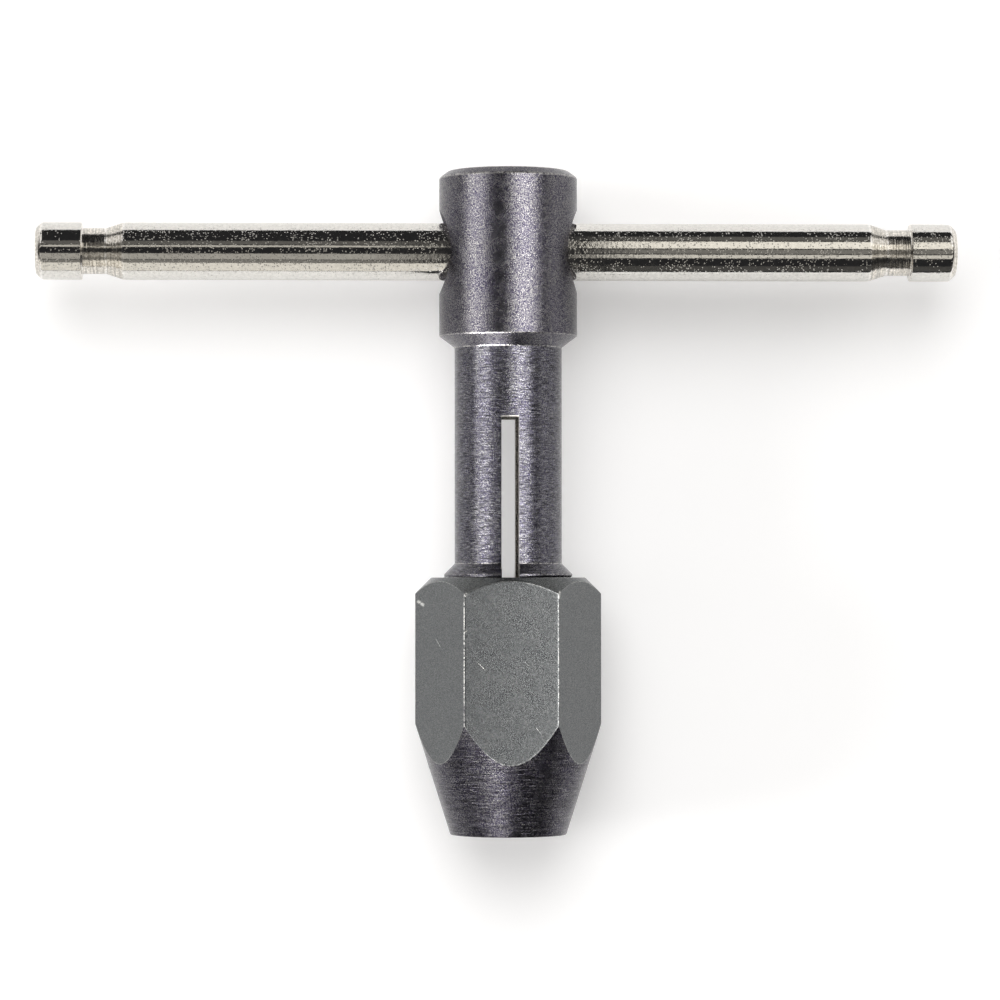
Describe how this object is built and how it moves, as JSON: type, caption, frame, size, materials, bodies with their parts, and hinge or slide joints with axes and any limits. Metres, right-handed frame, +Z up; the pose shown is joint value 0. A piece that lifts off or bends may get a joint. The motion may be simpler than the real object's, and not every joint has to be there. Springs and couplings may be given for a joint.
{
  "type": "tap wrench",
  "caption": "Sliding T-handle tap wrench: steel body with a slotted end, hexagon chuck nut that closes two vee jaws on a tap's square shank, and a grooved handle rod.",
  "frame": {"origin": "middle of the chuck nut's lower hexagon flat, on the surface that the wrench lies on, straight under the wrench's axis", "axes": "+Y runs along the wrench's axis from the nut's nose to the head, +X along the handle rod, +Z up"},
  "size_m": [0.127, 0.0915, 0.0223],
  "materials": {
    "blued_steel": "satin blued steel with a purple-grey cast and fine turning marks",
    "nut_steel": "mid-grey matte hexagon flats, dark purple-black turned taper, bright worn edges",
    "hardened_steel": "ground, hardened",
    "jaw_steel": "hardened, dark grey",
    "spring_steel": "drawn wire",
    "nickel_plate": "bright nickel plate with small pits",
    "ball_steel": "polished",
    "screw_steel": "black oxide"
  },
  "bodies": {
    "wrench_body": {"wrench_body": "blued_steel", "detent_ball": "ball_steel", "detent_spring": "spring_steel", "detent_screw": "screw_steel", "jaw_spring_left": "spring_steel", "jaw_spring_right": "spring_steel"},
    "closing_ring": {"closing_ring": "hardened_steel"},
    "chuck_nut": {"chuck_nut": "nut_steel"},
    "jaw_front": {"jaw_front": "jaw_steel"},
    "jaw_rear": {"jaw_rear": "jaw_steel"},
    "handle_rod": {"handle_rod": "nickel_plate"}
  },
  "joints": [
    {"name": "nut_travel", "type": "slide", "parent": "wrench_body", "child": "closing_ring", "axis": [0, 1, 0], "range_m": [-0.00223, 0.00368]},
    {"name": "nut_turn", "type": "hinge", "parent": "closing_ring", "child": "chuck_nut", "pos_m": [0, 0, 0.01115], "axis": [0, 1, 0], "range_deg": [-759, 1251]},
    {"name": "jaw_front_slide", "type": "slide", "parent": "wrench_body", "child": "jaw_front", "axis": [0, 0, -1], "range_m": [-0.00071, 0.00117], "deforming": ["jaw_spring_left", "jaw_spring_right"]},
    {"name": "jaw_rear_slide", "type": "slide", "parent": "wrench_body", "child": "jaw_rear", "axis": [0, 0, 1], "range_m": [-0.00071, 0.00117]},
    {"name": "handle_slide", "type": "slide", "parent": "wrench_body", "child": "handle_rod", "axis": [1, 0, 0], "range_m": [-0.054, 0.057]}
  ],
  "couplings": [
    {"joint": "nut_turn", "follows": "nut_travel", "rad_per_m": 5936.9},
    {"joint": "jaw_front_slide", "follows": "nut_travel", "ratio": 0.31722},
    {"joint": "jaw_rear_slide", "follows": "nut_travel", "ratio": 0.31722}
  ]
}
